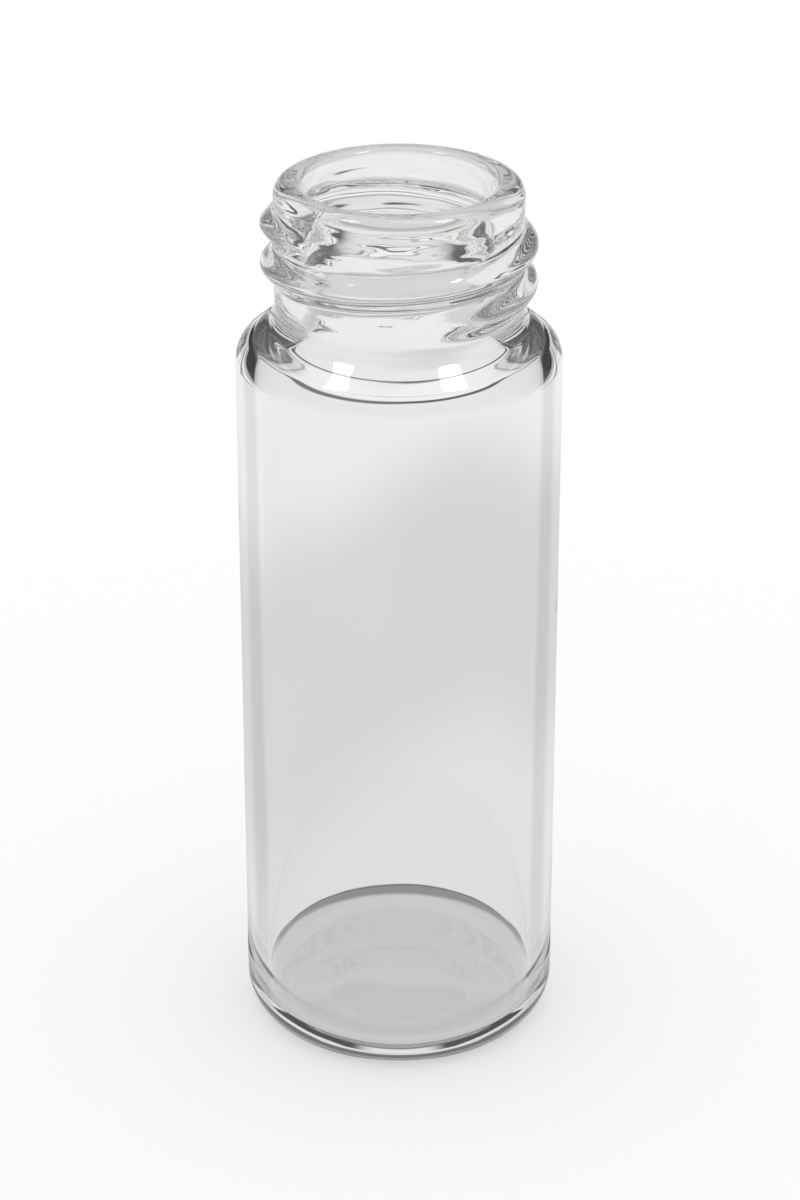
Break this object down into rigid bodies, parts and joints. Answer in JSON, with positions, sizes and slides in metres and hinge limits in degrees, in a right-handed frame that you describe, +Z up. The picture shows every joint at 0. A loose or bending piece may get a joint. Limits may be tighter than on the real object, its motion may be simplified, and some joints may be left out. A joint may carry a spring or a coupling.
{
  "type": "glass sample vial",
  "caption": "Small clear glass vial with a flat base, straight side, rounded shoulder and an open screw-thread neck.",
  "frame": {"origin": "centre of the base, on the level the vial stands on", "axes": "+Z up along the vial's axis, out of the mouth; the thread's upper end is on the -X -Y side"},
  "size_m": [0.015, 0.015, 0.0425],
  "materials": {
    "glass": "clear, smooth, fire-polished rim"
  },
  "bodies": {
    "root": {"vial": "glass"}
  },
  "joints": []
}
